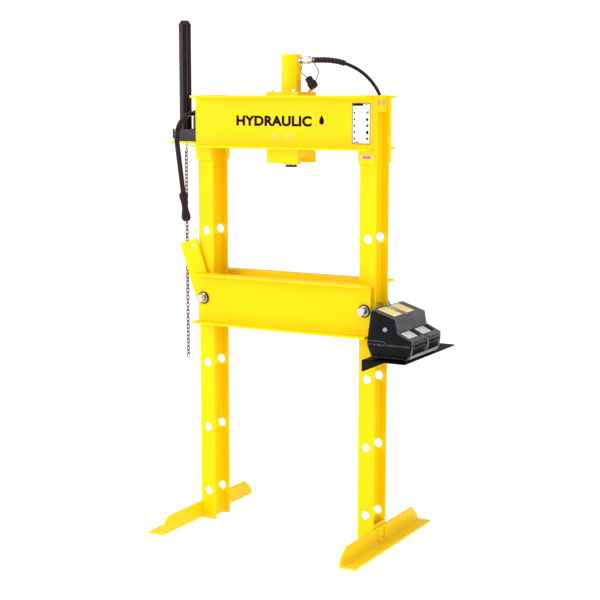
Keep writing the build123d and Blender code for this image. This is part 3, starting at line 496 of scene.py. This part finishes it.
def join(pieces):
    """Several new pieces as one object, at the origin."""
    deselect()
    for piece in pieces:
        piece.select_set(True)
    bpy.context.view_layer.objects.active = pieces[0]
    bpy.ops.object.transform_apply(location=True, rotation=True, scale=True)
    if len(pieces) > 1:
        bpy.ops.object.join()
    return bpy.context.object


# %% [markdown]
# ## The pressure hose
# The hose leaves the coupler straight, arches over the end of the head and drops behind the right
# post to the back of the foot pump. It is one smooth spline through given points. Over the
# crimped end lies a spiral guard, which is a tube whose radius swells along a helix, so it is
# built ring by ring along the same line.

# %% Hose and spiral guard
HOSE_RADIUS = 7.5
HOSE_ROUTE = [
    (152, 0, 2110), (215, 0, 2110), (300, 42, 2076), (336, 122, 2018), (350, 190, 1942),
    (350, 194, 1820), (335, 193, 1640), (312, 194, 1430), (312, 195, 1240), (322, 202, 1130),
    (375, 214, 1045), (425, 208.6, 965.6), (425, 152, 909),
]


def route_curve(name, radius):
    """The hose's line as a spline, with or without thickness."""
    curve = bpy.data.curves.new(name, "CURVE")
    curve.dimensions = "3D"
    spline = curve.splines.new("NURBS")
    spline.points.add(len(HOSE_ROUTE) - 1)
    for point, place in zip(spline.points, HOSE_ROUTE):
        point.co = (*[c * MM for c in place], 1)
    spline.order_u = 3
    spline.use_endpoint_u = True
    spline.resolution_u = 32
    curve.bevel_depth = radius * MM
    curve.bevel_resolution = 6
    curve.use_fill_caps = radius > 0
    piece = bpy.data.objects.new(name, curve)
    bpy.context.scene.collection.objects.link(piece)
    return piece


hose = route_curve("pressure_hose", HOSE_RADIUS)
hose.data.materials.append(finishes["rubber_black"])
bare = route_curve("route_only", 0)
bpy.context.view_layer.update()
traced = bpy.data.meshes.new_from_object(bare)
line = [v.co.copy() for v in traced.vertices]
bpy.data.objects.remove(bare)


def along(points, step):
    """Even steps along a line of points, each with its direction."""
    places, left = [], 0.0
    for a, b in zip(points, points[1:]):
        run = (b - a).length
        while left < run:
            places.append((a.lerp(b, left / run), (b - a).normalized()))
            left += step
        left -= run
    return places


def ring_tube(name, stations, radius_at, sides=28):
    """A closed tube through stations; radius_at(distance, turn) gives its radius in metres."""
    verts, faces, distance = [], [], 0.0
    side_way = Vector((0, 1, 0))
    for i, (place, way) in enumerate(stations):
        if i:
            distance += (place - stations[i - 1][0]).length
        side_way = (side_way - way * side_way.dot(way)).normalized()
        up = way.cross(side_way)
        for k in range(sides):
            turn = k / sides
            r = radius_at(distance, turn)
            angle = 2 * math.pi * turn
            verts.append(place + side_way * (r * math.cos(angle)) + up * (r * math.sin(angle)))
    for i in range(len(stations) - 1):
        for k in range(sides):
            n = (k + 1) % sides
            faces.append((i * sides + k, i * sides + n, (i + 1) * sides + n, (i + 1) * sides + k))
    faces.append(tuple(range(sides - 1, -1, -1)))
    faces.append(tuple(range(len(verts) - sides, len(verts))))
    mesh = bpy.data.meshes.new(name)
    mesh.from_pydata([tuple(v) for v in verts], [], faces)
    piece = bpy.data.objects.new(name, mesh)
    bpy.context.scene.collection.objects.link(piece)
    return piece


GUARD_START, GUARD_END, GUARD_PITCH = 0.119, 0.2575, 0.0165
lead_in = [Vector((GUARD_START, 0, 2.110)), Vector((0.150, 0, 2.110))]
covered = [p for p in line if p.x < GUARD_END and p.z > 2.0]
stations = along(lead_in + covered, 0.0009)


def guard_radius(distance, turn):
    """A rounded swelling that runs round the guard once a pitch."""
    phase = (distance / GUARD_PITCH - turn) % 1.0
    swell = math.sin(math.pi * phase) ** 0.6
    return 0.0102 + 0.0024 * swell


guard = ring_tube("hose_spiral_guard", stations, guard_radius)
settle(guard, "hose_spiral_guard", "frame", "rubber_black", smooth=60)
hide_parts("hose_guard")
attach(hose, "frame")
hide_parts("hose")

# %% [markdown]
# ## Weld beads
# A bead laid by hand is a row of small overlapping scallops. One flattened ball is repeated along
# the joint by an Array modifier, which keeps each bead cheap however long it is.


# %% Lay the beads
WELD_SIZE, WELD_PITCH = 3.2, 3.4


def weld(start, end):
    """A bead between two points in millimetres."""
    deselect()
    a, b = Vector(start), Vector(end)
    run = b - a
    bpy.ops.mesh.primitive_uv_sphere_add(segments=8, ring_count=5, radius=WELD_SIZE * MM,
                                         location=a * MM)
    bead = bpy.context.object
    bead.scale = (1.0, 1.0, 0.8)
    bead.rotation_euler = run.to_track_quat("X", "Z").to_euler()
    bpy.ops.object.transform_apply(location=False, rotation=True, scale=True)
    count = max(2, int(run.length / WELD_PITCH))
    modify(bead, "ARRAY", count=count, use_relative_offset=False, use_constant_offset=True,
           constant_offset_displace=run / count * MM)
    return bead


def weld_set(name, runs):
    """Beads along several runs, as one piece in the frame's paint."""
    beads = join([weld(a, b) for a, b in runs])
    settle(beads, name, "frame", "paint_yellow", smooth=60)


head_runs = []
for side in (-1, 1):
    for end in (-1, 1):
        head_runs.append(((end * 436.8, side * 83.5, 1742), (end * 436.8, side * 83.5, 1946)))
        head_runs.append(((end * 369.6, side * 83.0, 1742), (end * 369.6, side * 83.0, 1946)))
        head_runs.append(((end * 372, side * 64.0, 1671.6), (end * 444, side * 64.0, 1671.6)))
        head_runs.append(((end * 78.3, side * 82.2, 1742), (end * 78.3, side * 82.2, 1946)))
    head_runs.append(((-76, side * 82.9, 1729.0), (76, side * 82.9, 1729.0)))
    head_runs.append(((-76, side * 60.4, 1689.6), (76, side * 60.4, 1689.6)))
weld_set("head_welds", head_runs)
bed_runs = [((end * x, side * 82.2, 975), (end * x, side * 82.2, 1119))
            for end in (-1, 1) for side in (-1, 1) for x in (313.8, 330.2)]
weld_set("bed_welds", bed_runs)
print("welds laid", len(head_runs) + len(bed_runs))

# %% [markdown]
# ## Printing on the head
# The instruction chart is a white film with a dark rim, a heading bar and two columns of small
# generic symbols with lines between them. The marks are thin plates, so they export as shapes.
# The word on the web only says what kind of machine it is.

# %% Chart, small plates and lettering
WEB_FACE = -88.4


def plate(low, high, front, thick, radius=1.0):
    """A thin plate facing the operator, between (x, z) corners in millimetres."""
    return block((low[0], front - thick, low[1]), (high[0], front, high[1]), radius, 2)


def ink(name, boxes, material, front):
    """Thin marks on a plate, from (x0, z0, x1, z1) boxes in millimetres."""
    marks = join([plate((a, b), (c, d), front, 0.25, 0.05) for a, b, c, d in boxes])
    return settle(marks, name, "frame", material)


chart_low, chart_high = (344, 1756), (430, 1928)
chart = plate(chart_low, chart_high, WEB_FACE, 0.8, 0.3)
settle(chart, "chart_film", "frame", "label_white")
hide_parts("head_labels")
rim, front = 2.6, WEB_FACE - 0.8
(x0, z0), (x1, z1) = chart_low, chart_high
dark = [(x0, z0, x0 + rim, z1), (x1 - rim, z0, x1, z1), (x0, z0, x1, z0 + rim),
        (x0, z1 - rim, x1, z1), (x0 + 3, z1 - 12, x0 + 52, z1 - 3)]
grey = [(x0 + 58, z1 - 8, x0 + 74, z1 - 5), (x0 + 12, z1 - 20, x1 - 12, z1 - 18.6),
        (x0 + 18, z1 - 24, x1 - 26, z1 - 22.8)]
ROWS = 5
for row in range(ROWS):
    z = z1 - 42 - row * 27
    dark += [(x0 + 7, z - 3, x0 + 15, z + 3), (x0 + 9, z + 3, x0 + 13, z + 6)]
    wide = (3, 6, 4, 7, 4)[row]
    dark += [(x1 - 20, z - wide, x1 - 20 + wide * 1.6, z + wide),
             (x1 - 14, z - 2, x1 - 9, z + (8, 2, 9, 5, 7)[row])]
    for step in range(4):
        short = (0, 6, 2, 12)[(row + step) % 4]
        grey.append((x0 + 22, z - 6 + step * 4.6, x1 - 30 - short, z - 4.9 + step * 4.6))
dark += [(x0 + 8, z0 + 6, x0 + 34, z0 + 9)]
ink("chart_marks", dark, "ink", front)
ink("chart_lines", grey, "grey_ink", front)

small_plates = join([plate((x - 22, 1768), (x + 22, 1792), WEB_FACE, 0.5, 0.2)
                     for x in (-32, 39)])
settle(small_plates, "capacity_plates", "frame", "label_straw")
lines = []
for x in (-32, 39):
    lines += [(x - 18 + 3 * k, 1788 - 5.5 * k, x + 16 - (k % 2) * 9, 1789.1 - 5.5 * k)
              for k in range(4)]
ink("capacity_lines", lines, "ochre_ink", WEB_FACE - 0.5)
serial = plate((388, 1691), (434, 1711), -82.5, 0.8, 0.3)
settle(serial, "post_plate", "frame", "label_pink")
ink("post_plate_lines", [(391, 1706, 431, 1707.4), (391, 1694, 431, 1695.4)]
    + [(393 + 6 * k, 1698, 397 + 6 * k, 1703) for k in range(6)], "ink", -83.3)


def lettering(words, left, base, width, height, front):
    """A word as a thin solid, fitted to a width and a height in millimetres."""
    deselect()
    bpy.ops.object.text_add(rotation=(math.radians(90), 0, 0))
    text = bpy.context.object
    text.data.body = words
    text.data.offset = 0.05
    text.data.extrude = 0.004
    text.data.space_character = 1.06
    bpy.ops.object.convert(target="MESH")
    word = bpy.context.object
    bpy.ops.object.transform_apply(location=True, rotation=True, scale=True)
    xs, zs = [v.co.x for v in word.data.vertices], [v.co.z for v in word.data.vertices]
    ys = [v.co.y for v in word.data.vertices]
    grow = (width * MM / (max(xs) - min(xs)), 1, height * MM / (max(zs) - min(zs)))
    word.scale = (grow[0], 0.0003 / (max(ys) - min(ys)), grow[2])
    word.location = (left * MM - min(xs) * grow[0], front * MM - 0.00016,
                     base * MM - min(zs) * grow[2])
    return word


word = lettering("HYDRAULIC", -228, 1826, 378, 46, WEB_FACE)
settle(word, "web_lettering", "frame", "ink")

frame_mark = join([plate((170, 1829), (226, 1831), WEB_FACE, 0.3, 0.05),
                   plate((170, 1884), (226, 1886), WEB_FACE, 0.3, 0.05),
                   plate((170, 1829), (172, 1886), WEB_FACE, 0.3, 0.05),
                   plate((224, 1829), (226, 1886), WEB_FACE, 0.3, 0.05)])
settle(frame_mark, "drop_frame", "frame", "ochre_ink")
deselect()
bpy.ops.mesh.primitive_uv_sphere_add(segments=32, ring_count=24, radius=1, location=(0, 0, 0))
drop = bpy.context.object
for v in drop.data.vertices:
    taper = 1.0 if v.co.z < 0 else (1 - v.co.z) ** 0.75 * (1 + 0.55 * v.co.z)
    v.co = (v.co.x * taper * 0.0125, v.co.y * 0.0004, v.co.z * (0.0125 if v.co.z < 0 else 0.030))
drop.location = (0.198, WEB_FACE * MM - 0.0001, 1.848)
settle(drop, "oil_drop_mark", "frame", "ink", smooth=60)

# %% [markdown]
# ## The foot pump's cover
# The cover's side cheeks are darker than its back, top and front: the darker cheeks are painted
# shade, a shaded copy of the same plastic. Copies of the imported solids are cleaned up and get
# rounded edges, which the solids leave sharp, and their faces are sorted between the two plastics
# by the way they look.

# %% Rounded copies of the mouldings
# The side cheeks' plastic is a darker copy of the cover's plastic, as painted shade; its light edge
# colour is a painted highlight.
finishes["cheek_painted_shade"] = finish(
    "cheek_moulding_painted_shade", (0.006, 0.006, 0.007), (0.003, 0.003, 0.003), 0.42,
    edge=(0.16, 0.18, 0.20), edge_amount=1.0, edge_width=0.008, spec=0.09,
    skin=(1500, 260, 0.35), bump=0.4, depth=0.0003, dust=(0.05, 0.0, 0.1), drift=7)


def rounded_copy(node, name, width):
    """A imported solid's mesh, merged, with its edges rounded."""
    deselect()
    piece = bpy.data.objects.new(name, nodes[node].data.copy())
    bpy.context.scene.collection.objects.link(piece)
    piece.select_set(True)
    bpy.context.view_layer.objects.active = piece
    bpy.ops.object.mode_set(mode="EDIT")
    bpy.ops.mesh.select_all(action="SELECT")
    bpy.ops.mesh.remove_doubles(threshold=0.00002)
    bpy.ops.mesh.dissolve_limited(angle_limit=math.radians(1))
    bpy.ops.object.mode_set(mode="OBJECT")
    modify(piece, "BEVEL", width=width * MM, segments=3, limit_method="ANGLE",
           angle_limit=math.radians(25), use_clamp_overlap=True)
    return piece


def sort_faces(piece, cheek, dark):
    """The outer side faces take the second finish, a darker copy that is painted shade."""
    piece.data.materials.append(finishes[dark])
    for face in piece.data.polygons:
        if abs(face.normal.y) > 0.6 and abs(face.center.y) > (cheek - 6) * MM:
            face.material_index = 1


FP_HALF = 150
shell = rounded_copy("fp_shell", "pump_cover", 3.0)
settle(shell, "pump_cover", "frame", "plastic_body")
sort_faces(shell, FP_HALF, "cheek_painted_shade")
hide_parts("fp_shell")
tray = rounded_copy("fp_base", "pump_tray", 2.0)
settle(tray, "pump_tray", "frame", "plastic_body")
sort_faces(tray, FP_HALF, "cheek_painted_shade")
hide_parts("fp_base")
print("cover faces", len(shell.data.polygons), "tray faces", len(tray.data.polygons))

# %% [markdown]
# ## Lines and ribs on the foot pump
# On the real cover a raised lip runs along each cheek and steps down towards the pedals, a groove
# marks the tray, and the top carries two cream films with a pair of bright strips between them.
# Beside the strips lie black strips that are painted shade for grooves. The pedals have a pale pad
# on one side, a hollow beside it and a ribbed nose; the hollow and the slot under the nose are
# black sheets of painted shade.


# %% Lips, strips and films
def sloped(low, high, pivot, tilt, bevel=0.4):
    """A block turned about the Y axis by tilt degrees round a pivot (x, z), in millimetres."""
    piece = block(low, high, bevel)
    centre = Vector((pivot[0] * MM, 0, pivot[1] * MM))
    turn = Matrix.Rotation(math.radians(tilt), 4, "Y")
    piece.data.transform(Matrix.Translation(piece.location))
    piece.location = (0, 0, 0)
    piece.data.transform(Matrix.Translation(centre) @ turn @ Matrix.Translation(-centre))
    return piece


lips = []
for side in (-1, 1):
    y0, y1 = sorted((side * (FP_HALF - 1), side * (FP_HALF + 2.6)))
    lips.append(block((455, y0, 931), (531, y1, 936), 1.6, 3))
    lips.append(sloped((526, y0, 931), (547, y1, 936), (529, 934), 38, 1.6))
    lips.append(block((543, y0, 918), (652, y1, 923), 1.6, 3))
    lips.append(sloped((598, y0, 968), (662, y1, 973), (600, 972), 24.5, 1.6))
lip_piece = settle(join(lips), "cheek_lips", "frame", "lip_plastic")

TOP_TILT = math.degrees(math.atan2(36, 114))
TOP_AT = (470, 1067)
strips = [sloped((484, y0, 1066.4), (578, y1, 1068.6), TOP_AT, TOP_TILT)
          for y0, y1 in ((-21, -15), (-4, 2))]
settle(join(strips), "top_strips", "frame", "aluminium")
# Black strips on the top: painted shade standing for grooves.
groove_shades = [sloped((480, y0, 1066.2), (584, y1, 1067.6), TOP_AT, TOP_TILT)
           for y0, y1 in ((-28, -22), (-13, -6), (3, 9))]
settle(join(groove_shades), "top_grooves", "frame", "rubber_black")
films = [sloped((482, y0, 1066.6), (566, y1, 1067.8), TOP_AT, TOP_TILT, 0.3)
         for y0, y1 in ((-112, -31), (14, 90))]
film_piece = settle(join(films), "top_films", "frame", "label_cream")
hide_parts("fp_labels")
film_marks = []
for y0 in (-104, 22):
    for k in range(5):
        film_marks.append(sloped((490 + 14 * k, y0, 1067.7), (492 + 14 * k, y0 + 48 - 7 * (k % 3),
                                                           1068.1), TOP_AT, TOP_TILT, 0.1))
settle(join(film_marks), "film_lines", "frame", "ochre_ink")


# %% Pedals with pads, hollows and slots of painted shade, and ribs
def pedal(name, body, low, high):
    """One pedal between two y positions in millimetres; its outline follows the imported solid."""
    node = name.replace("pedal", "fp_pedal")
    base = rounded_copy(node, name + "_body", 1.6)
    settle(base, name + "_body", body, "plastic_pedal")
    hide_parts(node)
    tilt = math.degrees(math.atan2(16, 36))
    pad_end = low + (high - low) * 0.66
    pad = sloped((599, low + 3, 966), (643, pad_end, 970.0), (606, 966), tilt, 1.2)
    settle(pad, name + "_pad", body, "pedal_pad")
    specks = []
    for row in range(4):
        y = low + 12
        while y < pad_end - 12:
            wide = random.uniform(4, 13)
            specks.append(sloped((606 + 9 * row, y, 969.9), (608.5 + 9 * row, y + wide, 970.3),
                                 (606, 966), tilt, 0.1))
            y += wide + random.uniform(3, 6)
    settle(join(specks), name + "_pad_marks", body, "grey_ink")
    # The hollow is a thin black sheet on the pedal: painted shade.
    hollow_shade = sloped((602, pad_end + 3, 965.6), (642, high - 4, 966.6), (606, 966), tilt, 0.3)
    settle(hollow_shade, name + "_hollow", body, "ink")
    ribs, count = [], 9
    for k in range(count):
        y = low + 8 + k * (high - low - 16) / (count - 1)
        ribs.append(sloped((641, y - 4.0, 949.0), (662, y + 4.0, 956.0), (642, 950), 27, 2.4))
    settle(join(ribs), name + "_ribs", body, "rib_plastic")
    # The slot under the nose is a thin black block: painted shade.
    slot = block((663.2, low + 4, 914), (665.5, high - 4, 927), 0.6)
    settle(slot, name + "_slot", body, "ink")


pedal("pedal_near", "pedal_near", -136, -5)
pedal("pedal_far", "pedal_far", 5, 136)

# %% [markdown]
# ## Small round pieces
# The saddle under the ram has a grooved rim and crossed grooves in its face. The bed pins sit
# behind black rings, which are painted shade: they stand for the shadow round each pin in its
# hole. The dust caps have gripping ribs round them.


# %% Saddle, pin shade rings and cap ribs
def saddle_piece():
    """A grooved disc: every third rim face is drawn in, and a rounded stem and rounded bars are
    joined to it.
    """
    disc = drum((0, 0, 1653), (0, 0, 1), 25, 10, sides=60)
    bpy.ops.object.mode_set(mode="EDIT")
    bpy.ops.mesh.select_all(action="DESELECT")
    bpy.ops.object.mode_set(mode="OBJECT")
    rim = [f for f in disc.data.polygons if abs(f.normal.z) < 0.5]
    for i, face in enumerate(sorted(rim, key=lambda f: math.atan2(f.normal.y, f.normal.x))):
        face.select = i % 3 == 0
    bpy.ops.object.mode_set(mode="EDIT")
    bpy.ops.mesh.select_mode(type="FACE")
    bpy.ops.mesh.inset(thickness=0.0002, use_individual=True)
    bpy.ops.mesh.extrude_region_shrink_fatten(TRANSFORM_OT_shrink_fatten={"value": -0.0022})
    bpy.ops.object.mode_set(mode="OBJECT")
    stem = drum((0, 0, 1663), (0, 0, 1), 12, 12, bevel=0.4)
    bars = [block((-24, y - 1.6, 1646.9), (24, y + 1.6, 1648.4), 0.4) for y in (-14, -5, 5, 14)]
    return join([disc, stem, *bars])


saddle = saddle_piece()
settle(saddle, "saddle_grooved", "ram", "black_oxide")
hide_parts("saddle")


def pin_shade_ring(centre, axis, inner, outer, thick):
    """A ring in millimetres: a torus flattened along its own axis to the thickness."""
    deselect()
    turn = Vector(axis).to_track_quat("Z", "Y").to_euler()
    bpy.ops.mesh.primitive_torus_add(major_radius=(inner + outer) / 2 * MM,
                                     minor_radius=(outer - inner) / 2 * MM, major_segments=56,
                                     minor_segments=12, location=[c * MM for c in centre],
                                     rotation=turn)
    ring = bpy.context.object
    ring.scale = (1, 1, thick / (outer - inner))
    return ring


# Black rings behind the bed pins: painted shade round each pin in its hole.
for side, body in ((-1, "left_pin"), (1, "right_pin")):
    ring = pin_shade_ring((side * 408, -91.2, 1047), (0, 1, 0), 22.7, 28.5, 4.0)
    settle(ring, body + "_washer", body, "rubber_black", smooth=60)


def cap_ribs(centre, lean, radius, height, count):
    """Gripping ribs round a cap, one modelled and turned about the cap's own axis."""
    axis = Vector(lean).normalized()
    middle = Vector(centre) + axis * height / 2
    to_world = Matrix.Translation(middle * MM) @ axis.to_track_quat("Z", "Y").to_matrix().to_4x4()
    ribs = []
    for k in range(count):
        rib = block((radius - 0.8, -1.2, -height / 2 + 2), (radius + 1.4, 1.2, height / 2 - 2), 0.7)
        rib.data.transform(Matrix.Translation(rib.location))
        rib.location = (0, 0, 0)
        rib.data.transform(to_world @ Matrix.Rotation(2 * math.pi * k / count, 4, "Z"))
        ribs.append(rib)
    return ribs


CAP_LEAN = (0.6, 0, -0.8)
ribs = cap_ribs((97, -24, 2034), CAP_LEAN, radius=15, height=24.5, count=14)
ribs += cap_ribs((111.4, -24, 2014.8), CAP_LEAN, radius=19, height=27, count=18)
settle(join(ribs), "dust_cap_ribs", "frame", "rubber_black")
